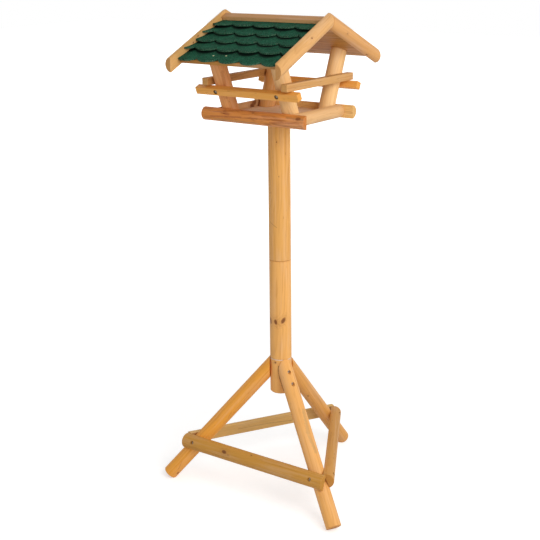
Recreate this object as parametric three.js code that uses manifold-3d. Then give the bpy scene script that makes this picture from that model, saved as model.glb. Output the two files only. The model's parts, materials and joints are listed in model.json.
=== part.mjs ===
// A bird table of round and half-round poles: a tripod, a post in three lengths, a tray and a
// small house with a ridged roof of planks and scalloped felt.
// Lengths are in millimetres and +Z is up. +X is the right gable and -Y is the front.

import * as THREE from "three";
import Module from "manifold-3d";
import { mergeVertices, toCreasedNormals } from "three/addons/utils/BufferGeometryUtils.js";

const wasm = await Module();
wasm.setup();

const degrees = Math.PI / 180;

// Clearance between pieces that touch, how far a cut runs past its piece, and eased edges
const gap = 0.3;
const overrun = 30;
const eased = 1.2;

// Facets round a pole, a half-round log, a small fastener and one felt tab, and the sharpest turn
// between two facets that is still shaded as one curve
const poleSides = 32;
const logSides = 16;
const pegSides = 16;
const tabSteps = 8;
const crease = 30 * degrees;

// Main post, from the stub below the legs up to the tray
const postRadius = 30;
const postEdge = 3;
const stubBelowLegs = 39.5;
const middleLength = 285;
const topLength = 383;
const dowelRadius = 6;
const dowelLength = 60;
const trayDowelLength = 40;
const trayDowelDepthShare = 0.55;

// Tripod legs: the length runs down the axis from the post's side to the middle of the foot
const legRadius = 21;
const legLength = 453;
const legTilt = 41 * degrees;
const footTrim = 3;
const seamAboveLegs = 29;
const legNames = ["back", "left", "right"];

// Stretchers: the height is that of the middle of the flat side
const stretcherRadius = 21;
const stretcherHeight = 117.5;
const stretcherOverhang = 10;

// Countersunk screws in counterbored holes
const screwRadius = 2;
const screwHeadRadius = 4.2;
const screwHeadHeight = 3;
const screwPoint = 4;
const boreRadius = 5;
const legBoreDepth = 8;
const legScrewWall = 3.5;
const legScrewShares = { upper: 0.05, lower: -0.8 };
const stretcherBoreDepth = 6;
const stretcherScrewInset = 8;

// Tray: the width and depth are those of its floor, between the logs' flat sides
const trayWidth = 235.5;
const trayDepth = 217.5;
const trayLogRadius = 17.7;
const trayLogTail = 26.3;
const floorThickness = 18;

// Roof posts, in the tray's corners. They lean outwards, and the roof's planks trim their tops.
// The length is the mean of a front and a back post's, along the axis.
const roofPostRadius = 21.5;
const roofPostLength = 171.5;
const roofPostLean = 22 * degrees;

// Rails of batten round the roof posts. Each side rail sits off the middle, to its own left as
// seen from outside.
const railThickness = 18;
const railHeight = 19;
const frontRailTail = 43;
const sideRailTail = 20;
const sideRailShift = 3;
const frontRailUpPost = 83.5;
const railBoreDepth = 3;

// Roof: depths are measured square to the slope, down from the rafters' top edge. The whole roof
// sits a little in front of the main post.
const roofPitch = 24.5 * degrees;
const ridgeForward = 12;
const rafterRadius = 18;
const rafterTail = 30;
const gableOverhang = 43.8;
const eaveOverhang = 29;
const deckDepth = 24;
const plankThickness = 10;
const plankWidth = 77;
const ridgeBoardWidth = 25;
const ridgeBoardThickness = 10;

// Felt: courses of tabs with rounded tips, each course lying on the next one down. The notches of
// the last course end short of the planks' edge.
const feltThickness = 3;
const feltFromRidge = 4;
const feltLap = 15;
const feltShortOfEave = 6;
const exposure = 42;
const tabWidth = 66;
const tabDepth = 14.5;
const tabShiftShares = { odd: 0.63, even: 0.14 };

// Colours and finishes of the bare surfaces
const finishes = {
  pole: { color: 0xdfa664, roughness: 0.6 },
  leg: { color: 0xd99c50, roughness: 0.6 },
  stretcher: { color: 0xb98644, roughness: 0.65 },
  tray: { color: 0xb4713f, roughness: 0.65 },
  floor: { color: 0xae7350, roughness: 0.7 },
  rail: { color: 0xc89048, roughness: 0.6 },
  rafter: { color: 0xcf9a5e, roughness: 0.6 },
  plank: { color: 0x9a6a3c, roughness: 0.7 },
  felt: { color: 0x1d3b2e, roughness: 0.95 },
  dowel: { color: 0xd8b98c, roughness: 0.7 },
  screw: { color: 0x8f8a80, roughness: 0.4, metalness: 0.9 },
};

const table = new THREE.Group();
const pieces = {};

function add(parent, name, finish, geometry) {
  const look = { metalness: 0, ...finishes[finish] };
  const mesh = new THREE.Mesh(geometry, new THREE.MeshStandardMaterial(look));
  mesh.name = name;
  pieces[name] = mesh;
  parent.add(mesh);
  return mesh;
}

function groupIn(parent) {
  const group = new THREE.Group();
  parent.add(group);
  return group;
}

// A closed mesh as a solid: shared corners are merged, and triangles with no area are dropped
function solidFrom(geometry) {
  const bare = geometry.clone();
  bare.deleteAttribute("normal");
  bare.deleteAttribute("uv");
  const merged = mergeVertices(bare);
  const corners = merged.index.array;
  const kept = [];
  for (let i = 0; i < corners.length; i += 3) {
    const [a, b, c] = corners.slice(i, i + 3);
    if (a !== b && b !== c && c !== a) {
      kept.push(a, b, c);
    }
  }
  const vertProperties = merged.attributes.position.array;
  return new wasm.Manifold(new wasm.Mesh({ numProp: 3, vertProperties, triVerts: Uint32Array.from(kept) }));
}

function geometryFrom(solid) {
  const mesh = solid.getMesh();
  const geometry = new THREE.BufferGeometry();
  geometry.setAttribute("position", new THREE.BufferAttribute(mesh.vertProperties, mesh.numProp));
  geometry.setIndex(new THREE.BufferAttribute(mesh.triVerts, 1));
  return toCreasedNormals(geometry, crease);
}

function cut(geometry, cutters) {
  const solid = cutters.reduce((rest, cutter) => rest.subtract(solidFrom(cutter)), solidFrom(geometry));
  return geometryFrom(solid);
}

// Basic forms

// A solid of revolution that stands on z = 0, from [radius, height] pairs off the axis
function turned(outline, sides) {
  const first = outline[0];
  const last = outline[outline.length - 1];
  const profile = [[0, first[1]], ...outline, [0, last[1]]];
  const points = profile.map(([radius, height]) => new THREE.Vector2(radius, height));
  return new THREE.LatheGeometry(points, sides).rotateX(Math.PI / 2);
}

// A round pole along +Z from z = 0, with the edge at each end eased by its own amount
function pole(radius, length, lowEdge = eased, highEdge = eased) {
  const outline = [
    [radius - lowEdge, 0],
    [radius, lowEdge],
    [radius, length - highEdge],
    [radius - highEdge, length],
  ];
  return turned(outline, poleSides);
}

// A plain peg along +Z, used for dowels and for the holes they sit in
function peg(radius, length) {
  return turned([[radius, 0], [radius, length]], pegSides);
}

// A shape extruded along Z from z = 0, with eased ends
function extruded(shape, length) {
  const options = {
    depth: length - 2 * eased,
    bevelThickness: eased,
    bevelSize: eased,
    bevelOffset: -eased,
    bevelSegments: 1,
    curveSegments: logSides / 2,
  };
  return new THREE.ExtrudeGeometry(shape, options).translate(0, 0, eased);
}

// A half-round log centred along X, with its flat side on z = 0 and its round side up
function halfRound(radius, length) {
  const section = new THREE.Shape();
  section.absarc(0, 0, radius, Math.PI / 2, 3 * Math.PI / 2);
  return extruded(section, length).translate(0, 0, -length / 2).rotateY(Math.PI / 2);
}

// A board centred along X, from the [y, z] corners of its section
function board(corners, length) {
  const section = new THREE.Shape(corners.map(([y, z]) => new THREE.Vector2(-z, y)));
  return extruded(section, length).translate(0, 0, -length / 2).rotateY(Math.PI / 2);
}

function rectangle(lowY, highY, lowZ, highZ) {
  return [[lowY, lowZ], [highY, lowZ], [highY, highZ], [lowY, highZ]];
}

// Screws and dowels: each is placed once, and at the end bores every piece that it passes
const fasteners = [];

// A countersunk screw with its head's top on z = 0 and its point down. With a margin it is the
// hole for that screw, opened to the surface by a counterbore.
function screwOutline(length, margin) {
  return [
    [screwRadius / 2 + margin, -length - margin],
    [screwRadius + margin, screwPoint - length - margin],
    [screwRadius + margin, -screwHeadHeight - margin],
    [screwHeadRadius + margin, -margin],
  ];
}

function screw(parent, name, length, passes) {
  const mesh = add(parent, name, "screw", turned(screwOutline(length, 0), pegSides));
  const bore = [[boreRadius, -gap], [boreRadius, overrun]];
  fasteners.push({ mesh, passes, hole: turned([...screwOutline(length, gap), ...bore], pegSides) });
  return mesh;
}

function dowel(parent, name, length, passes) {
  const mesh = add(parent, name, "dowel", peg(dowelRadius, length));
  const hole = peg(dowelRadius + gap, length + 2 * gap).translate(0, 0, -gap);
  fasteners.push({ mesh, passes, hole });
  return mesh;
}

function boreHoles() {
  table.updateMatrixWorld(true);
  for (const { mesh, passes, hole } of fasteners) {
    for (const name of passes) {
      const piece = pieces[name];
      const place = piece.matrixWorld.clone().invert().multiply(mesh.matrixWorld);
      piece.geometry = cut(piece.geometry, [hole.clone().applyMatrix4(place)]);
    }
  }
}

// Heights, from the ground up. A leg's axis meets the post's side at legHit.
const legHit = legRadius * Math.sin(legTilt) - footTrim + legLength * Math.cos(legTilt);
const legFaceHalf = legRadius / Math.sin(legTilt);
const stubTop = legHit + seamAboveLegs;
const stubBottom = legHit - legFaceHalf - stubBelowLegs;
const middleTop = stubTop + gap + middleLength;
const postTop = middleTop + gap + topLength;

// Main post
function makePost() {
  const stub = pole(postRadius, stubTop - stubBottom, postEdge);
  const middle = pole(postRadius, middleLength);
  const top = pole(postRadius, topLength);
  add(table, "post_stub", "pole", stub).position.z = stubBottom;
  add(table, "post_middle", "pole", middle).position.z = stubTop + gap;
  add(table, "post_top", "pole", top).position.z = middleTop + gap;
  const lower = dowel(table, "post_dowel_lower", dowelLength, ["post_stub", "post_middle"]);
  lower.position.z = stubTop - dowelLength / 2;
  const upper = dowel(table, "post_dowel_upper", dowelLength, ["post_middle", "post_top"]);
  upper.position.z = middleTop - dowelLength / 2;
  const tray = dowel(table, "tray_dowel", trayDowelLength, ["post_top", "tray_floor"]);
  tray.position.z = postTop + gap + trayDowelDepthShare * floorThickness - trayDowelLength;
}

// Tripod legs. In each leg's group +X runs outward from the post.
const legStep = 2 * Math.PI / legNames.length;
const legFace = postRadius + gap;
const legScrewPoints = dowelRadius + gap + legScrewWall;

function legTopLineAt(height) {
  return legFace + (legHit - height) * Math.tan(legTilt) + legRadius / Math.cos(legTilt);
}

function legAzimuth(side) {
  return Math.PI / 2 + legNames.indexOf(side) * legStep;
}

function makeLeg(side) {
  const group = groupIn(table);
  group.rotation.z = legAzimuth(side);
  const spare = overrun + legRadius / Math.tan(legTilt);
  const whole = pole(legRadius, legLength + spare).translate(0, 0, -legLength);
  whole.rotateY(-legTilt).translate(legFace, 0, legHit);
  const reach = 2 * legLength;
  const postSide = new THREE.BoxGeometry(reach, reach, reach).translate(legFace - reach / 2, 0, legHit);
  const ground = new THREE.BoxGeometry(reach, reach, reach).translate(legLength / 2, 0, -reach / 2);
  add(group, `leg_${side}`, "leg", cut(whole, [postSide, ground]));

  for (const [row, share] of Object.entries(legScrewShares)) {
    const height = legHit + share * legFaceHalf;
    const head = legTopLineAt(height) - legBoreDepth;
    const passes = [`leg_${side}`, "post_stub"];
    const mesh = screw(group, `leg_screw_${side}_${row}`, head - legScrewPoints, passes);
    mesh.position.set(head, 0, height);
    mesh.rotation.y = Math.PI / 2;
  }
}

// Stretchers. The legs' axes are the edges of a pyramid, and each stretcher lies on one of its
// faces. A face's group has its origin at the pyramid's tip, +X along the stretcher, -Y down the
// face's middle and +Z out of the face.
const tip = legHit + legFace / Math.tan(legTilt);
const faceLean = Math.atan(Math.tan(legTilt) * Math.cos(legStep / 2));
const legSpread = Math.atan(Math.sin(legTilt) * Math.sin(legStep / 2) * Math.cos(faceLean) / Math.cos(legTilt));
const flatSide = legRadius + gap;
const stretcherDown = (tip + flatSide * Math.sin(faceLean) - stretcherHeight) / Math.cos(faceLean);
const crossing = stretcherDown * Math.tan(legSpread);

// The flat sides of two neighbours meet past the leg. A short end stops there, at its top edge.
function shortEnd() {
  const cosTurn = Math.cos(faceLean) ** 2 * Math.cos(legStep) + Math.sin(faceLean) ** 2;
  const pastLeg = flatSide * Math.tan(Math.acos(cosTurn) / 2) / Math.cos(legSpread);
  return (stretcherDown - stretcherRadius) * Math.tan(legSpread) + pastLeg - gap;
}

// A stretcher's left and right ends, as seen from outside, each cross a leg
function makeStretcher(side, left, right) {
  const turnedFace = groupIn(table);
  turnedFace.rotation.z = legAzimuth(left.leg) + legStep / 2 + Math.PI / 2;
  turnedFace.position.z = tip;
  const face = groupIn(turnedFace);
  face.rotation.x = Math.PI / 2 - faceLean;
  const reach = { long: shortEnd() + stretcherOverhang, short: shortEnd() };
  const low = -reach[left.end];
  const high = reach[right.end];
  const name = `stretcher_${side}`;
  const log = halfRound(stretcherRadius, high - low).translate((low + high) / 2, 0, 0);
  add(face, name, "stretcher", log).position.set(0, -stretcherDown, flatSide);

  const head = flatSide + stretcherRadius - stretcherBoreDepth;
  for (const [sign, { leg }] of [[-1, left], [1, right]]) {
    const passes = [name, `leg_${leg}`];
    const mesh = screw(face, `stretcher_screw_${side}_${leg}`, head - gap, passes);
    mesh.position.set(sign * (crossing - stretcherScrewInset), -stretcherDown, head);
  }
}

// Tray
const floorBottom = postTop + gap;
const floorTop = floorBottom + floorThickness;
const trayLogMiddle = floorBottom + trayLogRadius;
const trayLogLength = trayWidth + 2 * (trayLogRadius + trayLogTail);

function makeTray() {
  const halfWidth = trayWidth / 2;
  const halfDepth = trayDepth / 2;
  const floor = board(rectangle(-halfDepth + gap, halfDepth - gap, 0, floorThickness), trayWidth - 2 * gap);
  add(table, "tray_floor", "floor", floor).position.z = floorBottom;
  const logs = [
    ["front", 0, trayLogLength, halfDepth],
    ["right", Math.PI / 2, trayDepth - 2 * gap, halfWidth],
    ["back", Math.PI, trayLogLength, halfDepth],
    ["left", -Math.PI / 2, trayDepth - 2 * gap, halfWidth],
  ];
  for (const [side, turn, length, out] of logs) {
    const group = groupIn(table);
    group.rotation.z = turn;
    const log = halfRound(trayLogRadius, length).rotateX(Math.PI / 2);
    add(group, `tray_log_${side}`, "tray", log).position.set(0, -out, trayLogMiddle);
  }
}

// Roof posts. Each leans against the front or back log's inner edge and stands beside a side log.
// The planks trim its top.
// A half of the house is a group with +Y running outward from the main post: the back half as it
// is, the front half turned round.
const roofPostX = trayWidth / 2 - gap - roofPostRadius;
const roofPostBase = floorTop + gap;
const postLeanHalf = roofPostRadius / Math.cos(roofPostLean);
const logRise = trayLogMiddle + trayLogRadius - roofPostBase;
const roofPostY = trayDepth / 2 - gap - postLeanHalf - logRise * Math.tan(roofPostLean);

function makeRoofPost(half, name, side, ridgeOut) {
  const spare = roofPostRadius * Math.tan(roofPostLean) + overrun;
  const whole = pole(roofPostRadius, roofPostLength + 2 * spare).translate(0, 0, -spare);
  whole.rotateX(-roofPostLean);
  const reach = 2 * eave;
  const below = new THREE.BoxGeometry(reach, reach, reach).translate(0, 0, -reach / 2);
  const roof = new THREE.BoxGeometry(reach, reach, reach).translate(0, 0, plankBottom - gap + reach / 2);
  roof.rotateX(-roofPitch).translate(0, ridgeOut - roofPostY, ridge - roofPostBase);
  const post = add(half, name, "pole", cut(whole, [below, roof]));
  post.position.set(side * roofPostX, roofPostY, roofPostBase);
}

// Rails. The front and back rails lie flat on the leaning posts, and the side rails rest on them.
const railSeat = roofPostRadius + gap;
const railTop = frontRailUpPost + railHeight / 2;
const railRise = railTop * Math.cos(roofPostLean) - railSeat * Math.sin(roofPostLean);
const sideRailBottom = roofPostBase + railRise + gap;
const sideRailRest = roofPostY + railTop * Math.sin(roofPostLean) + railSeat * Math.cos(roofPostLean);

function makeFrontRail(half, name) {
  const group = groupIn(half);
  group.position.set(0, roofPostY, roofPostBase);
  group.rotation.x = -roofPostLean;
  const section = rectangle(0, railThickness, -railHeight / 2, railHeight / 2);
  const holes = [-1, 1].map((side) => {
    const hole = peg(boreRadius, overrun).rotateX(-Math.PI / 2);
    return hole.translate(side * roofPostX, railThickness - railBoreDepth, 0);
  });
  const rail = cut(board(section, trayWidth + 2 * frontRailTail), holes);
  add(group, name, "rail", rail).position.set(0, railSeat, frontRailUpPost);
}

function makeSideRail(name, turn) {
  const group = groupIn(table);
  group.rotation.z = turn;
  const rail = board(rectangle(0, railThickness, 0, railHeight), 2 * (sideRailRest + sideRailTail));
  add(group, name, "rail", rail).position.set(sideRailShift, roofPostX + railSeat, sideRailBottom);
}

// Roof. The group of a slope has its origin at the rafters' top edges' meeting point, +X along
// the ridge, +Y down the slope and +Z square out of it.
const plankBottom = -deckDepth - plankThickness;
const postTopY = roofPostY + roofPostLength * Math.sin(roofPostLean);
const postTopZ = roofPostBase + roofPostLength * Math.cos(roofPostLean);
const ridge = postTopZ + (postTopY * Math.sin(roofPitch) - plankBottom + gap) / Math.cos(roofPitch);
const rafterFlat = trayWidth / 2 + gableOverhang;
const betweenRafters = 2 * (rafterFlat - gap);
const postDown = postTopY * Math.cos(roofPitch) + (ridge - postTopZ) * Math.sin(roofPitch);
const eave = postDown + roofPostRadius + eaveOverhang;

// The distance down the slope of the plumb cut at the ridge, at a height square to the slope
function ridgeCut(height) {
  return gap / 2 / Math.cos(roofPitch) - height * Math.tan(roofPitch);
}

function makeRafter(slope, name, side) {
  const length = eave + rafterTail - ridgeCut(0);
  const rafter = halfRound(rafterRadius, length).rotateX(-Math.PI / 2).rotateZ(side * -Math.PI / 2);
  rafter.translate(side * rafterFlat, ridgeCut(0) + length / 2, -rafterRadius);
  const plumb = new THREE.Matrix4().makeShear(0, 0, 0, 0, 0, -Math.tan(roofPitch));
  add(slope, name, "rafter", rafter.applyMatrix4(plumb));
}

// The planks are counted up from the eave, and the last one is cut to the width that is left
function makePlanks(slope, label) {
  const planks = Math.round((eave - ridgeCut(plankBottom)) / plankWidth);
  for (let plank = 1; plank <= planks; plank += 1) {
    const low = eave - (plank - 1) * plankWidth;
    const last = plank === planks;
    const high = low - plankWidth + gap;
    const section = [
      [last ? ridgeCut(plankBottom) : high, plankBottom],
      [low, plankBottom],
      [low, -deckDepth],
      [last ? ridgeCut(-deckDepth) : high, -deckDepth],
    ];
    add(slope, `roof_plank_${label}_${plank}`, "plank", board(section, betweenRafters));
  }
}

// Felt courses, counted down from the ridge. A course hangs from its top edge, tilted so that it
// clears the top edge of the next course, which lies under it. The last one lies on the planks.
const courses = Math.round((eave - feltShortOfEave - ridgeBoardWidth) / exposure);

function courseNotches(course) {
  return eave - feltShortOfEave - (courses - 1 - course) * exposure;
}

function courseTop(course) {
  return course === 0 ? ridgeCut(-deckDepth) + feltFromRidge : courseNotches(course - 1) - feltLap;
}

function courseTilt(course) {
  const next = course + 1;
  return next === courses ? 0 : Math.atan((feltThickness + gap) / (courseTop(next) - courseTop(course)));
}

// How far a tab's round edge reaches below the notches, across one tab
function tabReach(across) {
  const half = tabWidth / 2;
  const radius = (half ** 2 + tabDepth ** 2) / (2 * tabDepth);
  const fromMiddle = across - half;
  return Math.sqrt(radius ** 2 - fromMiddle ** 2) - (radius - tabDepth);
}

function makeCourse(slope, name, course) {
  const side = betweenRafters / 2;
  const top = courseTop(course);
  const notches = courseNotches(course) - top;
  const share = course % 2 === 0 ? tabShiftShares.odd : tabShiftShares.even;
  const shift = share * tabWidth;
  const firstTab = Math.floor((-side - shift) / tabWidth);
  const lastTab = Math.ceil((side - shift) / tabWidth);
  const places = [-side, side];
  for (let step = firstTab * tabSteps; step <= lastTab * tabSteps; step += 1) {
    const x = shift + step / tabSteps * tabWidth;
    if (Math.abs(x) < side - eased) {
      places.push(x);
    }
  }
  places.sort((a, b) => a - b);
  const edge = places.map((x) => {
    const across = THREE.MathUtils.euclideanModulo(x - shift, tabWidth);
    return new THREE.Vector2(x, notches + tabReach(across));
  });
  const outline = [new THREE.Vector2(side, 0), new THREE.Vector2(-side, 0), ...edge];
  const felt = new THREE.ExtrudeGeometry(new THREE.Shape(outline), { depth: feltThickness, bevelEnabled: false });
  const mesh = add(slope, name, "felt", felt);
  mesh.position.set(0, top, gap - deckDepth);
  mesh.rotation.x = courseTilt(course);
}

// The ridge board lies on the first course where its lower edge crosses it
function makeRidgeBoard(slope, name) {
  const tilt = courseTilt(0);
  const feltTop = (ridgeBoardWidth - courseTop(0)) * Math.tan(tilt) + feltThickness / Math.cos(tilt);
  const bottom = gap - deckDepth + feltTop + gap;
  const top = bottom + ridgeBoardThickness;
  const section = [
    [ridgeCut(bottom), bottom],
    [ridgeBoardWidth, bottom],
    [ridgeBoardWidth, top],
    [ridgeCut(top), top],
  ];
  add(slope, name, "rafter", board(section, betweenRafters));
}

// The ridge lies that far out from the main post's axis, as seen from the half that is made
function makeHouseHalf(label, turn, ridgeOut) {
  const half = groupIn(table);
  half.rotation.z = turn;
  const slope = groupIn(half);
  slope.position.set(0, ridgeOut, ridge);
  slope.rotation.x = -roofPitch;
  for (const side of [-1, 1]) {
    const right = side * Math.cos(turn) > 0;
    const corner = `${label}_${right ? "right" : "left"}`;
    makeRoofPost(half, `roof_post_${corner}`, side, ridgeOut);
    makeRafter(slope, `rafter_${corner}`, side);
  }
  makeFrontRail(half, `rail_${label}`);
  makePlanks(slope, label);
  for (let course = 0; course < courses; course += 1) {
    makeCourse(slope, `felt_${label}_${course + 1}`, course);
  }
  makeRidgeBoard(slope, `ridge_board_${label}`);
}

makePost();
legNames.forEach(makeLeg);
makeStretcher("front", { leg: "left", end: "long" }, { leg: "right", end: "long" });
makeStretcher("right", { leg: "right", end: "short" }, { leg: "back", end: "short" });
makeStretcher("left", { leg: "back", end: "long" }, { leg: "left", end: "short" });
makeTray();
makeHouseHalf("front", Math.PI, ridgeForward);
makeHouseHalf("back", 0, -ridgeForward);
makeSideRail("rail_left", Math.PI / 2);
makeSideRail("rail_right", -Math.PI / 2);
boreHoles();

// The origin is on the ground, in the middle of the whole table's footprint
const footprint = new THREE.Box3().setFromObject(table, true).getCenter(new THREE.Vector3());
table.position.set(-footprint.x, -footprint.y, 0);

const group = new THREE.Group();
group.add(table);

export default group;
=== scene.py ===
"""A bird table of round poles: the looks of its packed model, and the small fittings and felt."""

import json
import math
from functools import partialmethod

import bpy
import numpy as np
from bpy.props import FloatProperty, FloatVectorProperty, IntProperty, PointerProperty
from mathutils import Matrix, Vector
from mathutils.bvhtree import BVHTree

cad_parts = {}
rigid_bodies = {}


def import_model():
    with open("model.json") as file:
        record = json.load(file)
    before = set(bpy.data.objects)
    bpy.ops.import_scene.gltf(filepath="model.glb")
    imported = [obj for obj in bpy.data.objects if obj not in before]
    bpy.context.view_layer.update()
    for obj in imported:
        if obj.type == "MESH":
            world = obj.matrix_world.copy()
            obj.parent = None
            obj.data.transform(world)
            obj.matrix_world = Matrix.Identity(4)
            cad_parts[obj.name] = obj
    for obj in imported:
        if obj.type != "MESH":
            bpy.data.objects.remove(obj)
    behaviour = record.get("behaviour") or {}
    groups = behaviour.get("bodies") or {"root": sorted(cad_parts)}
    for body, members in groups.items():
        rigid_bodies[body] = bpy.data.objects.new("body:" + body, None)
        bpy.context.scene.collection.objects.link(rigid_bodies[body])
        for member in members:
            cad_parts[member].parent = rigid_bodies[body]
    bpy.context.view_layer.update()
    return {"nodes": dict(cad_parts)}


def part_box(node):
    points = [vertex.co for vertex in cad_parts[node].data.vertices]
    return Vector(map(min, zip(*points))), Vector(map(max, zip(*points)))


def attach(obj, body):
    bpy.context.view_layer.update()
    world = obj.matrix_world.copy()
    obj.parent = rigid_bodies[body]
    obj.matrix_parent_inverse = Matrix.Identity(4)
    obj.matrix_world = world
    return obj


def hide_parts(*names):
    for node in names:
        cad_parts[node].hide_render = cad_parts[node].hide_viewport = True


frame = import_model()

bl_info = {
    "name": "Bird table looks",
    "version": (1, 0, 0),
    "blender": (4, 5, 0),
    "location": "3D View > Sidebar > Bird table",
    "description": "Timber, felt, screws and a plain studio for a bird table",
    "category": "Object",
}

MM = 0.001
BODY = "root"


# Settings


def length(name, text, default):
    return FloatProperty(name=name, description=text, default=default, min=0.0, unit="LENGTH", precision=4)


def amount(name, text, default, low=0.0, high=10.0):
    return FloatProperty(name=name, description=text, default=default, min=low, max=high)


def turn(name, text, degrees):
    return FloatProperty(name=name, description=text, default=math.radians(degrees), subtype="ANGLE")


def count(name, text, default, low, high):
    return IntProperty(name=name, description=text, default=default, min=low, max=high)


def power(name, text, default):
    return FloatProperty(name=name, description=text, default=default, unit="POWER")


def linear(code):
    """The scene-linear colour of a six-digit sRGB code."""
    parts = [int(code[i : i + 2], 16) / 255 for i in (0, 2, 4)]
    return tuple(p / 12.92 if p <= 0.04045 else ((p + 0.055) / 1.055) ** 2.4 for p in parts)


def colour(name, text, code):
    return FloatVectorProperty(
        name=name, description=text, default=linear(code), size=3, min=0.0, max=1.0, subtype="COLOR"
    )


class BirdTableTimber(bpy.types.PropertyGroup):
    """Stains and grain of the timber"""

    post_stub: colour("Post stub", "Stain of the post's short foot", "f1b264")
    post_middle: colour("Post middle", "Stain of the post's middle length", "efb061")
    post_top: colour("Post top", "Stain of the post's top length", "e5a859")
    dowels: colour("Dowels", "Bare dowels inside the post", "e3c08c")
    leg_left: colour("Left leg", "Stain of the leg at the front's left", "f3a740")
    leg_right: colour("Right leg", "Stain of the leg at the front's right", "f0af60")
    leg_back: colour("Back leg", "Stain of the back leg", "e3a251")
    stretcher_front: colour("Front stretcher", "Stain of the front stretcher", "cb913b")
    stretcher_right: colour("Right stretcher", "Stain of the right stretcher", "cb9041")
    stretcher_left: colour("Left stretcher", "Stain of the stretcher at the back's left", "ddaf65")
    tray_log_front: colour("Front tray log", "Stain of the reddish log", "dd8e43")
    tray_log_back: colour("Back tray log", "Stain of the log with strong grain", "f7c67b")
    tray_logs: colour("Side tray logs", "Stain of the two paler logs", "dfaf77")
    # Painted light: paler than the floor's own stain, to make up for the shade under the roof
    tray_floor: colour("Tray floor", "Stain of the tray's floor", "fbd9b2")
    roof_posts: colour("Roof posts", "Stain of the two posts on the right", "f0c081")
    roof_post_red: colour("Red roof post", "Stain of the front left post", "f0ab68")
    roof_post_back: colour("Back left roof post", "Stain of the back left post", "e0a25c")
    rails: colour("Front and back rails", "Stain of the golden battens", "f0aa4f")
    rail_sides: colour("Side rails", "Stain of the battens at the sides", "cb9757")
    rafter_front: colour("Front right rafter", "Stain of the front right half-round log", "d7a263")
    rafter_back: colour("Back right rafter", "Stain of the back right half-round log", "d89e5d")
    rafter_left: colour("Left rafters", "Stain of the two half-round logs on the left", "daa765")
    ridge: colour("Ridge boards", "Stain of the two ridge boards", "bb8752")
    # Painted light: the ridge boards' narrow sides face into shade, so they get a paler colour than the top
    ridge_sides_painted_light: colour("Ridge edges", "Stain of the ridge boards' narrow sides", "f4ba80")
    planks: colour("Planks", "Stain of the roof's planks", "c18538")
    ring_width: length("Ring width", "Distance between two growth rings", 2.7 * MM)
    wander: length("Wander", "How far the pith strays from a straight line", 4 * MM)
    rings: amount("Rings", "Strength of the growth rings", 0.27)
    fibre: amount("Fibre", "Strength of the fine lengthwise fibres", 0.42)


class BirdTableFelt(bpy.types.PropertyGroup):
    """Sizes and colours of the felt"""

    granules: colour("Granules", "Green of the mineral granules", "184b36")
    worn: colour("Worn granules", "Bright granules along a free edge", "8a9c84")
    bitumen: colour("Bitumen", "Black of the cut edges and the underside", "090b0a")
    thickness: length("Thickness", "Thickness of one course", 4 * MM)
    tab_width: length("Tab width", "Width of one rounded tab", 66 * MM)
    tab_depth: length("Tab depth", "How far a tab's tip hangs below the notches", 17 * MM)
    lift: length("Lift", "How far a tab's free edge curls up", 3.6 * MM)
    ripple: length("Ripple", "Height of the soft ripples across a course", 0.5 * MM)
    columns: count("Columns", "Vertices along one course", 260, 20, 600)
    rows: count("Rows", "Vertices down one course", 15, 4, 60)


class BirdTableFittings(bpy.types.PropertyGroup):
    """Sizes and finish of the screws and nails"""

    head_radius: length("Head radius", "Radius of a screw's head", 4.2 * MM)
    recess_depth: length("Recess depth", "Depth of the cross recess", 2.2 * MM)
    nail_radius: length("Nail radius", "Radius of a felt nail's head", 2.4 * MM)
    steel: colour("Steel", "Dull plating of the screws", "d2cabb")
    zinc: colour("Zinc", "Yellowed zinc of the felt nails", "c9c49a")


class BirdTableCamera(bpy.types.PropertyGroup):
    """The camera that took the photograph"""

    azimuth: turn("Azimuth", "Turn round the table from its front", 35.9)
    elevation: turn("Elevation", "Angle above level", 16.44)
    roll: turn("Roll", "Turn about the line of sight", -0.61)
    distance: length("Distance", "From the camera to the point that it aims at", 3.09516)
    aside: FloatProperty(
        name="Aside", description="How far the aim is from the post", default=-0.02794, unit="LENGTH"
    )
    height: length("Height", "Height of the point that it aims at", 0.63547)
    lens: FloatProperty(name="Lens", description="Focal length", default=75.185, unit="CAMERA")


class BirdTableStudio(bpy.types.PropertyGroup):
    """Lamps, world and floor"""

    key: power("Key lamp", "Power of the large lamp", 44.0)
    rim: power("Rim lamp", "Power of the lamp behind the right side", 8.0)
    sky: amount("Sky", "Strength of the light from all round", 0.5)
    floor: colour("Floor", "Colour of the floor", "e4e4e4")
    floor_glow: amount("Floor glow", "White that the camera sees added to the floor", 0.5)


SETTINGS = {
    "bird_timber": BirdTableTimber,
    "bird_felt": BirdTableFelt,
    "bird_fittings": BirdTableFittings,
    "bird_camera": BirdTableCamera,
    "bird_studio": BirdTableStudio,
}


# Node trees, shared


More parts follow.
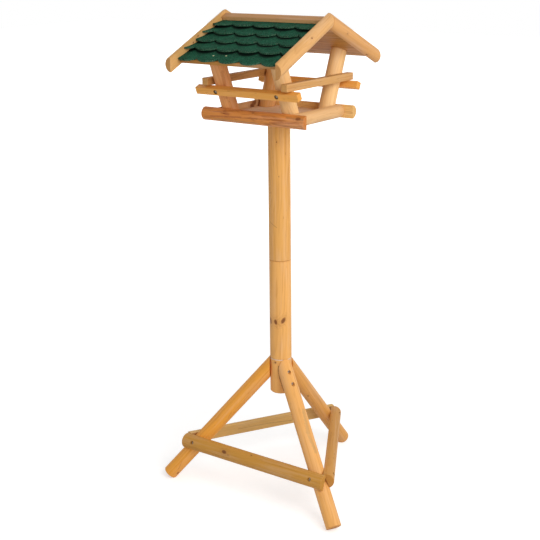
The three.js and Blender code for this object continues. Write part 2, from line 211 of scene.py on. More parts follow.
class Value:
    """A socket of a node tree that can be used in sums, so that a formula reads as one."""

    def __init__(self, tree, socket):
        self.tree = tree
        self.socket = socket

    def maths(self, operation, *others):
        node = self.tree.nodes.new("ShaderNodeMath")
        node.operation = operation
        for socket, value in zip(node.inputs, (self, *others)):
            feed(self.tree, socket, value)
        return Value(self.tree, node.outputs[0])

    def vector(self, operation, *others):
        node = self.tree.nodes.new("ShaderNodeVectorMath")
        node.operation = operation
        second = node.inputs["Scale" if operation == "SCALE" else 1]
        for socket, value in zip((node.inputs[0], second), (self, *others)):
            feed(self.tree, socket, value)
        plain = operation in {"LENGTH", "DOT_PRODUCT"}
        return Value(self.tree, node.outputs["Value" if plain else "Vector"])

    __add__ = partialmethod(maths, "ADD")
    __sub__ = partialmethod(maths, "SUBTRACT")
    __mul__ = partialmethod(maths, "MULTIPLY")
    __truediv__ = partialmethod(maths, "DIVIDE")

    def one_minus(self):
        return (self * -1.0) + 1.0

    def clamped(self):
        return made(self.tree, "ShaderNodeClamp", Value=self)

    def smooth(self, low, high, at_low=0.0, at_high=1.0):
        """A soft step from at_low to at_high as the value goes from low to high."""
        return made(self.tree, "ShaderNodeMapRange", 0, {"interpolation_type": "SMOOTHSTEP"}, Value=self,
                    From_Min=low, From_Max=high, To_Min=at_low, To_Max=at_high)

    def parts(self):
        """The three parts of a vector or colour."""
        node = self.tree.nodes.new("ShaderNodeSeparateXYZ")
        feed(self.tree, node.inputs[0], self)
        return [Value(self.tree, s) for s in node.outputs]


def feed(tree, socket, value):
    """Links a Value to a socket, or sets the socket to a plain number, tone, vector or material."""
    if isinstance(value, Value):
        tree.links.new(value.socket, socket)
    elif socket.type == "VECTOR" and not hasattr(value, "__len__"):
        socket.default_value = (value,) * 3
    elif socket.type == "RGBA" and len(value) == 3:
        socket.default_value = (*value, 1.0)
    else:
        socket.default_value = value


def feed_all(tree, sockets, **values):
    """Feeds sockets by name, where _ stands for a space."""
    for label, value in values.items():
        feed(tree, sockets[label.replace("_", " ")], value)


def made(tree, kind, output=0, properties=None, **inputs):
    """One output of a new node, whose properties and inputs are set."""
    node = tree.nodes.new(kind)
    for name, value in (properties or {}).items():
        setattr(node, name, value)
    feed_all(tree, node.inputs, **inputs)
    return Value(tree, node.outputs[output])


def joined(tree, x, y, z):
    return made(tree, "ShaderNodeCombineXYZ", X=x, Y=y, Z=z)


def noise(tree, place, scale=1.0, detail=2.0, roughness=0.5, coloured=False):
    return made(tree, "ShaderNodeTexNoise", "Color" if coloured else "Fac", Vector=place, Scale=scale,
                Detail=detail, Roughness=roughness)


def cells(tree, place, scale=1.0):
    """A cell texture's distance to the nearest seed, and the parts of that cell's own random colour."""
    node = tree.nodes.new("ShaderNodeTexVoronoi")
    feed_all(tree, node.inputs, Vector=place, Scale=scale)
    return Value(tree, node.outputs["Distance"]), Value(tree, node.outputs["Color"]).parts()


def mixed(tree, share, low, high):
    """A colour that goes from low to high as the share goes from 0 to 1."""
    node = tree.nodes.new("ShaderNodeMix")
    node.data_type = "RGBA"
    # The sockets for colours come after those for numbers and vectors, under the same names
    for socket, value in zip((node.inputs["Factor"], node.inputs[6], node.inputs[7]), (share, low, high)):
        feed(tree, socket, value)
    return Value(tree, node.outputs[2])


def open_tree(name, inputs, outputs, kind="ShaderNodeTree"):
    """A node tree with named inputs and outputs, {name: default}, where None stands for geometry.
    It comes with its inputs as values by name, and with the node that takes what it puts out."""
    tree = bpy.data.node_groups.new(name, kind)
    for label, default in inputs.items():
        socket = tree.interface.new_socket(name=label, in_out="INPUT", socket_type=socket_kind(default))
        if default is not None:
            socket.default_value = default
    for label, default in outputs.items():
        tree.interface.new_socket(name=label, in_out="OUTPUT", socket_type=socket_kind(default))
    entry = tree.nodes.new("NodeGroupInput")
    leave = tree.nodes.new("NodeGroupOutput")
    return tree, {s.name: Value(tree, s) for s in entry.outputs if s.name}, leave


def socket_kind(default):
    """The type of socket that a default value needs. A colour has four parts, a vector three."""
    if default is None:
        return "NodeSocketGeometry"
    if isinstance(default, tuple):
        return "NodeSocketColor" if len(default) == 4 else "NodeSocketVector"
    return "NodeSocketInt" if isinstance(default, int) else "NodeSocketFloat"


def placed_group(tree, name, **values):
    """A shared group placed in a material with its own values, and its outputs by name."""
    node = tree.nodes.new("ShaderNodeGroup")
    # A group is built the first time that a material asks for it
    node.node_tree = bpy.data.node_groups.get(name) or SHARED[name]()
    feed_all(tree, node.inputs, **values)
    return {s.name: Value(tree, s) for s in node.outputs}


# Timber looks

# Tones of marks in the wood, and of painted shade
KNOT_SWIRL = (0.36, 0.14, 0.04)
KNOT_RIM = (0.30, 0.10, 0.03)
# Painted shade in screw holes, over crushed fibres
CRUSHED_AND_SHADED = (0.07, 0.032, 0.012)
BARE = (0.84, 0.66, 0.52)
AMBER = (0.50, 0.17, 0.045)
RUSSET = (0.45, 0.16, 0.04)
RED = (0.34, 0.09, 0.03)
OCHRE = (0.46, 0.27, 0.12)
DUSK = (0.17, 0.10, 0.05)
MOSS = (0.30, 0.23, 0.12)
UMBER = (0.17, 0.075, 0.022)
SCRATCHED = (0.22, 0.10, 0.03)
# Painted shade in the gap beside a notched leg
SHADOW = (0.09, 0.035, 0.012)

KNOT_STRETCH = 1.6
HOLE_SHADE = 0.28

# Defaults of the groups' inputs. Grain runs along the local Z of a piece, and local X points out of its
# flat or widest side
HERE = (0.0, 0.0, 0.0)
UPWARD = (0.0, 0.0, 1.0)
WOOD = (0.7, 0.4, 0.15, 1.0)
GRAIN_INPUTS = {
    "Place": HERE, "Pith": HERE, "Seed": 0.0, "Ring Width": 2.6 * MM, "Wander": 5 * MM, "Rings": 0.4,
    "Fibre": 0.3, "Mottle": 0.0, "Flecks": 0.5, "Bulge": 0.0, "Stain": WOOD, "Late": (0.4, 0.18, 0.06, 1.0),
    "Pale": (0.9, 0.66, 0.38, 1.0),
}
KNOT_INPUTS = {
    "Place": HERE, "Centre": HERE, "Along": UPWARD, "Radius": 4 * MM, "Stretch": KNOT_STRETCH, "Under": WOOD,
    "Heart": (0.16, 0.05, 0.02, 1.0), "Strength": 1.0,
}
STREAK_INPUTS = {
    "Place": HERE, "From": HERE, "To": UPWARD, "Width": 2 * MM, "Under": WOOD, "Tone": (0.2, 0.12, 0.05, 1.0),
    "Strength": 0.5,
}
END_INPUTS = {
    "Normal": UPWARD, "Along": UPWARD, "Place": HERE, "Reach": 1.0, "Under": WOOD,
    "End": (0.45, 0.22, 0.08, 1.0),
}
HOLE_INPUTS = {"Place": HERE, "Mouth": HERE, "Radius": 5 * MM, "Under": WOOD, "Strength": HOLE_SHADE}
COLOUR_OUT = {"Color": WOOD}
MASKED_OUT = {"Color": WOOD, "Mask": 0.0}


def grain_group():
    """Growth rings round a wandering pith, fine fibres, dark flecks and uneven stain."""
    outputs = {"Color": WOOD, "Roughness": 0.0, "Height": 0.0}
    tree, given, leave = open_tree("Timber grain", GRAIN_INPUTS, outputs)
    seed = joined(tree, given["Seed"] * 1.7, given["Seed"] * 2.9, given["Seed"] * 5.3)
    place = given["Place"].vector("ADD", seed)

    def drawn_out(across, along, detail=2.0, roughness=0.5, coloured=False):
        """Noise with so many waves in a metre across the grain, and along it."""
        waves = place.vector("MULTIPLY", (across, across, along))
        return noise(tree, waves, detail=detail, roughness=roughness, coloured=coloured)

    from_pith = given["Place"].vector("SUBTRACT", given["Pith"])
    # The pith strays in long sweeps and in short ones
    for across, along, share in ((3.0, 3.4, 4.0), (16.0, 15.0, 0.7)):
        sway = drawn_out(across, along, 1.0, coloured=True).vector("SUBTRACT", (0.5, 0.5, 0.5))
        from_pith = from_pith.vector("ADD", sway.vector("SCALE", given["Wander"] * share))
    radius = from_pith.vector("MULTIPLY", (1.0, 1.0, 0.0)).vector("LENGTH")
    turns = (radius + given["Bulge"]) / given["Ring Width"] + drawn_out(60.0, 5.0) * 0.8
    ring = turns.maths("FRACT")
    width = noise(tree, joined(tree, turns.maths("FLOOR") * 7.3, given["Seed"], 0.0), detail=0.0)
    late = ring.maths("POWER", 2.2) * ring.smooth(0.86, 1.0, 1.0, 0.0) * (width * 1.6 + 0.15)

    fine = drawn_out(620.0, 15.0, 3.0, 0.6) - 0.5
    thread = drawn_out(270.0, 6.0) - 0.5
    streak = drawn_out(140.0, 3.2) - 0.5
    patch = drawn_out(30.0, 9.0, 3.0) - 0.5
    curl = drawn_out(30.0, 14.0, coloured=True).vector("SCALE", 1.6)
    curl = curl.vector("ADD", place.vector("MULTIPLY", (95.0, 95.0, 15.0)))
    mottle = noise(tree, curl, detail=3.0, roughness=0.6).smooth(0.46, 0.64) * given["Mottle"]
    near, own = cells(tree, place.vector("MULTIPLY", (120.0, 120.0, 34.0)))
    fleck = near.smooth(0.09, 0.2, 1.0, 0.0) * own[0].smooth(0.80, 0.84) * given["Flecks"]

    fibres = fine + streak * 1.5 + thread * 1.3 + patch * 1.1
    dark = late * given["Rings"] + fibres * given["Fibre"] + fleck * 0.7 + mottle * 0.6
    tone = mixed(tree, dark.clamped(), given["Stain"], given["Late"])
    pale = (((patch - streak + 0.02) * 2.2 - fine) * given["Fibre"]).clamped()

    feed_all(tree, leave.inputs, Color=mixed(tree, pale, tone, given["Pale"]),
             Roughness=fine * 0.2 + late * 0.08 + 0.54,
             Height=fine * 0.6 - late * 0.3 + streak * 0.5 - fleck * 0.4)
    return tree


def knot_group():
    """One knot: a dark heart with rings, a warm rim, and grain that swirls round it."""
    tree, given, leave = open_tree("Knot", KNOT_INPUTS, MASKED_OUT)
    offset = given["Place"].vector("SUBTRACT", given["Centre"])
    ragged = noise(tree, given["Place"], 330.0)
    reach = offset.vector("LENGTH")
    along = offset.vector("DOT_PRODUCT", given["Along"])
    squeeze = (given["Stretch"] * given["Stretch"]).maths("POWER", -1.0).one_minus()
    far = (reach * reach - along * along * squeeze).maths("SQRT") / given["Radius"] + (ragged - 0.5) * 0.5
    heart = far.smooth(0.7, 1.1, 1.0, 0.0) * given["Strength"]
    rim = far.smooth(0.95, 1.6, 1.0, 0.0) * 0.5 * given["Strength"]
    swirl = (far * 6.5 + ragged * 2.0).maths("SINE").smooth(0.1, 1.0) * far.smooth(1.3, 4.2, 1.0, 0.0)
    around = (far.smooth(1.0, 3.6, 1.0, 0.0) * 0.14 + swirl * 0.22) * given["Strength"]
    warm = mixed(tree, rim, mixed(tree, around, given["Under"], KNOT_SWIRL), KNOT_RIM)
    ring = (far * 11.0).maths("SINE") * 0.1 + 0.84
    feed_all(tree, leave.inputs, Color=mixed(tree, heart * ring, warm, given["Heart"]), Mask=heart)
    return tree


def streak_group():
    """A long stain or scratch from one point to another, with ragged sides."""
    tree, given, leave = open_tree("Streak", STREAK_INPUTS, COLOUR_OUT)
    run = given["To"].vector("SUBTRACT", given["From"])
    offset = given["Place"].vector("SUBTRACT", given["From"])
    share = (offset.vector("DOT_PRODUCT", run) / run.vector("DOT_PRODUCT", run)).clamped()
    off = offset.vector("SUBTRACT", run.vector("SCALE", share)).vector("LENGTH")
    far = off / given["Width"] + (noise(tree, given["Place"], 260.0, 3.0) - 0.5) * 1.2
    mask = far.smooth(0.3, 1.2, 1.0, 0.0) * given["Strength"]
    feed_all(tree, leave.inputs, Color=mixed(tree, mask, given["Under"], given["Tone"]))
    return tree


def end_group():
    """End grain, which drinks more stain, and the handled edge just before it. Place is local."""
    tree, given, leave = open_tree("End grain", END_INPUTS, MASKED_OUT)
    facing = given["Normal"].vector("DOT_PRODUCT", given["Along"]).maths("ABSOLUTE")
    mask = facing.smooth(0.62, 0.86)
    blotch = noise(tree, given["Place"], 240.0, 3.0)
    height = given["Place"].parts()[2].maths("ABSOLUTE")
    edge = (height - given["Reach"] + (blotch - 0.5) * 2.0 * MM).smooth(-3.2 * MM, -0.4 * MM)
    share = (mask * (blotch * 0.5 + 0.45)).maths("MAXIMUM", edge * 0.45)
    feed_all(tree, leave.inputs, Color=mixed(tree, share, given["Under"], given["End"]), Mask=mask)
    return tree


def hole_group():
    """Painted shade in and round the mouth of a screw hole, over fibres that the screw crushed darker."""
    tree, given, leave = open_tree("Hole edge", HOLE_INPUTS, COLOUR_OUT)
    ragged = noise(tree, given["Place"], 500.0)
    far = given["Place"].vector("SUBTRACT", given["Mouth"]).vector("LENGTH") / given["Radius"]
    mask = (far + (ragged - 0.5) * 0.4).smooth(0.95, 1.4, 1.0, 0.0) * given["Strength"]
    feed_all(tree, leave.inputs, Color=mixed(tree, mask, given["Under"], CRUSHED_AND_SHADED))
    return tree


SHARED = {
    "Timber grain": grain_group,
    "Knot": knot_group,
    "Streak": streak_group,
    "End grain": end_group,
    "Hole edge": hole_group,
}


def new_material(name):
    material = bpy.data.materials.new(name)
    material.use_nodes = True
    return material, material.node_tree


def surface(tree, **values):
    """Sets the inputs of a material's shader."""
    feed_all(tree, tree.nodes["Principled BSDF"].inputs, **values)


def coordinates(tree, output):
    return made(tree, "ShaderNodeTexCoord", output)


def bumped(tree, height, distance):
    return made(tree, "ShaderNodeBump", Height=height, Distance=distance, Strength=1.0)


def corners_of(node):
    return np.array([v.co for v in frame["nodes"][node].data.vertices])


def piece_frame(node, along=None):
    """A CAD node's middle, its axes (Z along its length, X out of its widest side) and half its length."""
    mesh = frame["nodes"][node].data
    corners = corners_of(node)
    triangles = corners[np.array([p.vertices[:3] for p in mesh.polygons])]
    first, second, third = triangles.transpose(1, 0, 2)
    areas = np.linalg.norm(np.cross(second - first, third - first), axis=1)
    middles = triangles.mean(axis=1)
    centre = Vector((middles * areas[:, None]).sum(0) / areas.sum())
    if along is None:
        spread = ((middles - centre).T * areas) @ (middles - centre)
        along = Vector(np.linalg.eigh(spread)[1][:, 2])
        if max(along, key=abs) < 0:
            along.negate()
    axis = Vector(along).normalized()
    sides = {}
    for polygon, area in zip(mesh.polygons, areas):
        if abs(polygon.normal.dot(axis)) < 0.5:
            key = tuple(round(c, 1) for c in polygon.normal)
            sides[key] = sides.get(key, 0.0) + area
    flat = Vector(max(sides, key=sides.get))
    flat = (flat - axis * flat.dot(axis)).normalized()
    lengths = (corners - np.array(centre)) @ np.array(axis)
    middle = (lengths.max() + lengths.min()) / 2
    axes = Matrix((flat, axis.cross(flat), axis)).transposed()
    return centre + axis * middle, axes, (lengths.max() - lengths.min()) / 2


def times(tone, share):
    return tuple(c * share for c in tone)


def deeper(tone, share):
    """A darker tone of a stain, which turns redder as it darkens."""
    return (tone[0] * share, tone[1] * share ** 1.35, tone[2] * share ** 1.7)


def paler(tone, share):
    return tuple(c + (1.0 - c) * share for c in tone)


def chain(points, width, tone, strength):
    """Streaks that run on from point to point."""
    return [(start, end, width, tone, strength) for start, end in zip(points, points[1:])]


def timber(node, stain, seed, pith=(4 * MM, 3 * MM), rings=1.0, fibre=1.0, mottle=0.0, flecks=0.5, late=0.5,
           knots=(), streaks=(), holes=(), hole_shade=HOLE_SHADE, seam=None, along=None, end_shade=0.68,
           sides=None):
    """Timber for one CAD node.

    stain: name of the setting with the stain
    pith: where the heart of the tree lies across the piece, in metres
    knots: (place, radius, strength) or (place, radius, strength, stretch, direction), in the row frame
    streaks: (from, to, width, tone, strength), in the row frame
    holes: mouths of screw holes
    seam: height of a bare band round the piece
    end_shade: how much of its light the stain keeps on end grain
    sides: name of a paler colour for the narrow sides, painted light where the lamps leave them in shade
    """
    settings = bpy.context.scene.bird_timber
    stain = tuple(getattr(settings, stain))
    centre, axes, reach = piece_frame(node, along)
    axis = axes.col[2].copy()
    material, tree = new_material(f"{node}_timber")
    world = coordinates(tree, "Object")
    normal = coordinates(tree, "Normal")
    local = made(tree, "ShaderNodeMapping", 0, {"vector_type": "TEXTURE"}, Vector=world, Location=centre,
                 Rotation=axes.to_euler())

    # The rings swell out round a knot
    bulge = 0.0
    for place, size, strength, *_ in knots:
        gap = world.vector("SUBTRACT", place).vector("LENGTH") / (size * 3.0)
        bulge = (gap * gap * -1.0).maths("EXPONENT") * (settings.ring_width * 1.5 * strength) + bulge
    grain = placed_group(
        tree, "Timber grain", Place=local, Pith=(*pith, 0.0), Seed=float(seed), Bulge=bulge, Mottle=mottle,
        Ring_Width=settings.ring_width, Wander=settings.wander, Rings=settings.rings * rings,
        Fibre=settings.fibre * fibre, Flecks=flecks, Stain=stain, Late=deeper(stain, late),
        Pale=paler(stain, 0.22),
    )
    tone, height = grain["Color"], grain["Height"]
    for start, end, width, shade, strength in streaks:
        tone = placed_group(tree, "Streak", Place=world, From=start, To=end, Width=width, Under=tone,
                            Tone=shade, Strength=strength)["Color"]
    for place, size, strength, *shape in knots:
        stretch, direction = shape or (KNOT_STRETCH, axis)
        knot = placed_group(tree, "Knot", Place=world, Centre=place, Along=Vector(direction).normalized(),
                            Radius=size, Stretch=stretch, Under=tone, Heart=deeper(stain, 0.2),
                            Strength=strength)
        tone = knot["Color"]
        height = height - knot["Mask"] * 0.5
    # Painted light: the narrow sides get a paler colour of their own, through the end grain group
    if sides is not None:
        tone = placed_group(tree, "End grain", Normal=normal, Along=axes.col[1].copy(), Place=local,
                            Under=tone, End=tuple(getattr(settings, sides)))["Color"]
    ends = placed_group(tree, "End grain", Normal=normal, Along=axis, Place=local, Reach=reach, Under=tone,
                        End=deeper(stain, end_shade))
    tone = ends["Color"]
    # Painted shade in and round each screw hole, over crushed fibres
    for mouth in holes:
        tone = placed_group(tree, "Hole edge", Place=world, Mouth=mouth, Under=tone,
                            Strength=hole_shade)["Color"]
    if seam is not None:
        off = (world.parts()[2] - seam).maths("ABSOLUTE") + (noise(tree, world, 240.0) - 0.5) * 1.6 * MM
        tone = mixed(tree, off.smooth(0.9 * MM, 1.9 * MM, 0.9, 0.0), tone, BARE)
    surface(tree, Base_Color=tone, Roughness=grain["Roughness"] + ends["Mask"] * 0.18,
            Specular_IOR_Level=0.3, Normal=bumped(tree, height, 0.35 * MM))
    cover(node, material)


def cover(node, material):
    """Puts a material on every slot of a CAD node."""
    mesh = frame["nodes"][node].data
    if not mesh.materials:
        mesh.materials.append(material)
    for index in range(len(mesh.materials)):
        mesh.materials[index] = material


def nodes_named(start):
    return sorted(n for n in frame["nodes"] if n.startswith(start))


# Meshes from trees


def shape_tree(name, inputs):
    """A Geometry Nodes tree with one geometry in and out, and named inputs with these defaults."""
    return open_tree(name, {"Geometry": None, **inputs}, {"Geometry": None}, "GeometryNodeTree")


def merged(tree, *geometries):
    node = tree.nodes.new("GeometryNodeJoinGeometry")
    for geometry in geometries:
        tree.links.new(geometry.socket, node.inputs[0])
    return Value(tree, node.outputs[0])


def close_tree(tree, leave, geometry, material):
    """Ends a tree: instances are made real, and the material is set."""
    real = made(tree, "GeometryNodeRealizeInstances", Geometry=geometry)
    dressed = made(tree, "GeometryNodeSetMaterial", Geometry=real, Material=material)
    feed_all(tree, leave.inputs, Geometry=dressed)
    return tree


def added(name, data):
    """A new object, linked to the scene."""
    thing = bpy.data.objects.new(name, data)
    bpy.context.scene.collection.objects.link(thing)
    return thing


def holder_with(tree, values, mesh=None):
    """An object that carries a Geometry Nodes modifier with these values for its named inputs."""
    holder = added("holder", mesh or bpy.data.meshes.new("holder"))
    modifier = holder.modifiers.new("Shape", "NODES")
    modifier.node_group = tree
    for item in tree.interface.items_tree:
        if item.item_type == "SOCKET" and item.in_out == "INPUT" and item.name in values:
            modifier[item.identifier] = values[item.name]
    return holder


def finished(holder, name):
    """The evaluated mesh of a holder as a plain object, which takes the holder's place."""
    graph = bpy.context.evaluated_depsgraph_get()
    mesh = bpy.data.meshes.new_from_object(holder.evaluated_get(graph), depsgraph=graph)
    mesh.name = name
    bpy.data.objects.remove(holder)
    return added(name, mesh)


# Felt courses

GREY_GRANULES = (0.20, 0.28, 0.20)


def granule_material():
    """Green mineral granules in bitumen, with bare bright ones along a tab's free edge, and painted shade
    under the course above.
    """
    felt = bpy.context.scene.bird_felt
    material, tree = new_material("felt_granules")
    world = coordinates(tree, "Object")
    to_edge, past_above = (
        made(tree, "ShaderNodeAttribute", "Fac", {"attribute_name": name})
        for name in ("to_edge", "past_above")
    )
    near, (shade, other, _) = cells(tree, world, 950.0)
    _, (thick, thin, _) = cells(tree, world, 360.0)
    cloud = noise(tree, world, 34.0, 4.0, 0.6)
    ragged = noise(tree, world, 520.0)
    rim = (to_edge + (ragged - 0.5) * 1.6 * MM).smooth(0.1 * MM, 0.9 * MM, 1.0, 0.0)
    bright = noise(tree, world, 420.0, 1.0).smooth(0.46, 0.60)
    green = felt.granules
    tone = mixed(tree, shade, times(green, 0.45), times(green, 1.6))
    for share, layer in (
        (other.smooth(0.94, 0.97) * 0.5, GREY_GRANULES),
        (shade.smooth(0.0, 0.10, 0.8, 0.0), felt.bitumen),
        (cloud.smooth(0.40, 0.66) * 0.45, times(green, 1.9)),
        (thick.smooth(0.55, 0.95) * 0.5, times(green, 0.35)),
        (thin.smooth(0.70, 1.0) * 0.4, times(green, 2.4)),
        # Painted shade below the free edge of the course above: a near-black band, then a softer darkening
        (past_above.smooth(2.5 * MM, 7.5 * MM, 0.98, 0.0), times(green, 0.05)),
        (past_above.smooth(4 * MM, 15 * MM, 0.4, 0.0), times(green, 0.3)),
        (rim * bright * 0.3, felt.worn),
    ):
        tone = mixed(tree, share, tone, layer)
    surface(tree, Base_Color=tone, Roughness=shade * 0.2 + 0.74, Specular_IOR_Level=0.1,
            Normal=bumped(tree, near.one_minus() + ragged * 0.3, 0.8 * MM))
    return material


def bitumen_material():
    """The black body of the felt, seen at its cut edges and from below."""
    material, tree = new_material("felt_bitumen")
    grain = noise(tree, coordinates(tree, "Object"), 800.0, 3.0)
    black = bpy.context.scene.bird_felt.bitumen
    surface(tree, Base_Color=mixed(tree, grain, times(black, 0.4), times(black, 1.6)),
            Roughness=grain * 0.3 + 0.65, Specular_IOR_Level=0.03, Normal=bumped(tree, grain, 0.4 * MM))
    return material


FELT_INPUTS = {
    "Columns": 260, "Rows": 15, "Width": 320 * MM, "Notches": 50 * MM, "Tab Width": 66 * MM,
    "Tab Depth": 17 * MM, "Above": 10 * MM, "Shift": 0.0, "Lift": 3 * MM, "Corner Lift": 0.0,
    "Corner Drop": 0.0, "Ripple": 0.5 * MM, "Seed": 0.0,
}


def marked(tree, geometry, name, value):
    """Geometry whose points carry a value, for a material to read."""
    return made(tree, "GeometryNodeStoreNamedAttribute", 0, {"data_type": "FLOAT", "domain": "POINT"},
                Geometry=geometry, Name=name, Value=value)


def felt_tree(material):
    """One felt course as a sheet with its top edge on Y = 0: X runs along it and Y down the slope.
    Its free edge is a row of round tabs that curl up a little, most of all at the left end."""
    tree, given, leave = shape_tree("Felt course", FELT_INPUTS)
    grid = made(tree, "GeometryNodeMeshGrid", Size_X=1.0, Size_Y=1.0, Vertices_X=given["Columns"],
                Vertices_Y=given["Rows"])
    u, v, _ = made(tree, "GeometryNodeInputPosition").parts()
    x = u * given["Width"]
    step = (x - given["Shift"]) / given["Tab Width"]
    half, depth = given["Tab Width"] * 0.5, given["Tab Depth"]
    radius = (half * half + depth * depth) / (depth * 2.0)

    def scallops(step, notches):
        """How far down the slope an edge of round tabs lies."""
        off = (step.maths("FRACT") - 0.5) * given["Tab Width"]
        return notches + depth - radius + (radius * radius - off * off).maths("SQRT")

    edge = scallops(step, given["Notches"])
    # The rows crowd towards the free edge, where the sheet bends most
    down = (v + 0.5).maths("POWER", 0.7)
    slope = edge * down
    wave = noise(tree, joined(tree, x * 13.0, slope * 9.0, given["Seed"]), detail=1.0) - 0.5
    own = noise(tree, joined(tree, step.maths("FLOOR") * 3.1, given["Seed"], 3.0), detail=0.0)
    curl = (slope / (given["Notches"] + depth)).maths("POWER", 2.6)
    tip = down.maths("POWER", 3.0)
    rise = curl * given["Lift"] * (own * 1.2 + 0.4) + tip * u.smooth(0.37, 0.5) * given["Corner Lift"]
    rise = rise + wave * given["Ripple"] * down * 2.0
    drop = tip * u.smooth(0.39, 0.48) * given["Corner Drop"]
    ragged = (noise(tree, joined(tree, x * 800.0, given["Seed"], 0.0)) - 0.5) * (1.4 * MM)
    sheet = marked(tree, grid, "to_edge", edge - slope)
    # The course above is staggered by half a tab; how far a point lies past its edge sets the painted shade
    # below it
    sheet = marked(tree, sheet, "past_above", slope - scallops(step + 0.5, given["Above"]))
    shaped = made(tree, "GeometryNodeSetPosition", Geometry=sheet,
                  Position=joined(tree, x, slope + ragged * curl + drop, rise))
    return close_tree(tree, leave, shaped, material)


# Screws and nails


def steel_material(name, tone, metallic=0.6):
    """Dull plated steel, with dark blooms and fine scratches."""
    material, tree = new_material(name)
    world = coordinates(tree, "Object")
    bloom = noise(tree, world, 700.0, 4.0, 0.6)
    scratch = noise(tree, world.vector("MULTIPLY", (300.0, 2600.0, 2600.0)))
    bright = tuple(min(c * 1.2, 0.95) for c in tone)
    surface(tree, Base_Color=mixed(tree, bloom, times(tone, 0.55), bright), Metallic=metallic,
            Roughness=bloom * 0.3 + scratch * 0.15 + 0.3,
            Normal=bumped(tree, scratch * 0.5 + bloom, 0.12 * MM))
    return material


# How high the rim of a screw's head is, and how many sides the head has
SCREW_RIM = 0.35 * MM
SCREW_SIDES = 40
SCREW_INPUTS = {
    "Head Radius": 4.2 * MM, "Head Height": 3 * MM, "Shank Radius": 2 * MM, "Recess Radius": 2.6 * MM,
    "Recess Depth": 2.2 * MM, "Recess Width": 1.1 * MM,
}
NAIL_INPUTS = {"Head Radius": 2.6 * MM, "Head Height": 0.8 * MM}


def cone(tree, sides, bottom, top, depth):
    return made(tree, "GeometryNodeMeshCone", Vertices=sides, Radius_Bottom=bottom, Radius_Top=top,
                Depth=depth)


def raised(tree, geometry, height, **how):
    level = joined(tree, 0.0, 0.0, height)
    return made(tree, "GeometryNodeTransform", Geometry=geometry, Translation=level, **how)


def aimed_points(tree, given):
    """The points of the mesh that carries a tree, the way that each looks, and its rotation."""
    outward = made(tree, "GeometryNodeInputNamedAttribute", 0, {"data_type": "FLOAT_VECTOR"}, Name="outward")
    aim = made(tree, "FunctionNodeAlignRotationToVector", 0, {"axis": "Z"}, Vector=outward)
    return made(tree, "GeometryNodeMeshToPoints", Mesh=given["Geometry"]), outward, aim


def screw_tree(material):
    """Countersunk cross-recess screws, one on each point of the mesh. The point attribute
    "outward" is the way that the head looks, and "length" is the screw's whole length."""
    tree, given, leave = shape_tree("Cross-recess screws", SCREW_INPUTS)
    wide, high, thin = given["Head Radius"], given["Head Height"], given["Shank Radius"]
    disc = raised(tree, cone(tree, SCREW_SIDES, wide, wide - SCREW_RIM * 0.6, SCREW_RIM), -SCREW_RIM)
    under = raised(tree, cone(tree, SCREW_SIDES, thin, wide, high - SCREW_RIM), high * -1.0)
    head = made(tree, "GeometryNodeMergeByDistance", Geometry=merged(tree, disc, under))
    # Two flat wedges cut the cross
    reach, sunk = given["Recess Radius"], given["Recess Depth"]
    wedge = raised(tree, cone(tree, 4, reach * 0.35, reach * 1.35, sunk * 1.35), sunk * -1.0,
                   Scale=joined(tree, 1.0, given["Recess Width"] / reach, 1.0))
    for turned in (0.0, math.pi / 2):
        cutter = made(tree, "GeometryNodeTransform", Geometry=wedge, Rotation=(0.0, 0.0, turned))
        head = made(tree, "GeometryNodeMeshBoolean", "Mesh", {"operation": "DIFFERENCE"}, Mesh_1=head,
                    Mesh_2=cutter)
    head = made(tree, "GeometryNodeSetShadeSmooth", Geometry=head, Shade_Smooth=False)
    shank = raised(tree, cone(tree, 16, thin * 0.4, thin, 1.0), -1.0)
    whole = made(tree, "GeometryNodeInputNamedAttribute", 0, {"data_type": "FLOAT"}, Name="length")
    points, outward, aim = aimed_points(tree, given)
    necks = made(tree, "GeometryNodeSetPosition", Geometry=points,
                 Offset=outward.vector("SCALE", high * -0.9))
    heads = made(tree, "GeometryNodeInstanceOnPoints", Points=points, Instance=head, Rotation=aim)
    shanks = made(tree, "GeometryNodeInstanceOnPoints", Points=necks, Instance=shank, Rotation=aim,
                  Scale=joined(tree, 1.0, 1.0, whole - high))
    return close_tree(tree, leave, merged(tree, heads, shanks), material)


def nail_tree(material):
    """Flat clout nails, one on each point of the mesh, whose heads look along "outward"."""
    tree, given, leave = shape_tree("Clout nails", NAIL_INPUTS)
    wide, high = given["Head Radius"], given["Head Height"]
    low = cone(tree, 24, wide, wide, high * 0.6)
    crown = raised(tree, cone(tree, 24, wide, wide * 0.7, high * 0.4), high * 0.6)
    nail = made(tree, "GeometryNodeMergeByDistance", Geometry=merged(tree, low, crown))
    points, _, aim = aimed_points(tree, given)
    nails = made(tree, "GeometryNodeInstanceOnPoints", Points=points, Instance=nail, Rotation=aim)
    return close_tree(tree, leave, nails, material)


def places_mesh(places):
    """A mesh of loose points from (place, outward, length), as the trees for fasteners read them."""
    mesh = bpy.data.meshes.new("places")
    mesh.from_pydata([tuple(place) for place, _, _ in places], [], [])
    # Each attribute is filled before the next is made, because a new one moves the others
    for name, kind, field, values in (
        ("outward", "FLOAT_VECTOR", "vector", [c for _, way, _ in places for c in way]),
        ("length", "FLOAT", "value", [long for _, _, long in places]),
    ):
        mesh.attributes.new(name, kind, "POINT").data.foreach_set(field, values)
    return mesh


def screw_place(node):
    """A CAD screw's place: the middle of its head's top, the way the head looks and its length."""
    centre, axes, reach = piece_frame(node)
    axis = axes.col[2].copy()
    corners = corners_of(node) - np.array(centre)
    lengths = corners @ np.array(axis)
    spread = np.linalg.norm(corners - np.outer(lengths, np.array(axis)), axis=1)
    if lengths[spread.argmax()] < 0:
        axis.negate()
    return centre + axis * reach, axis, 2 * reach


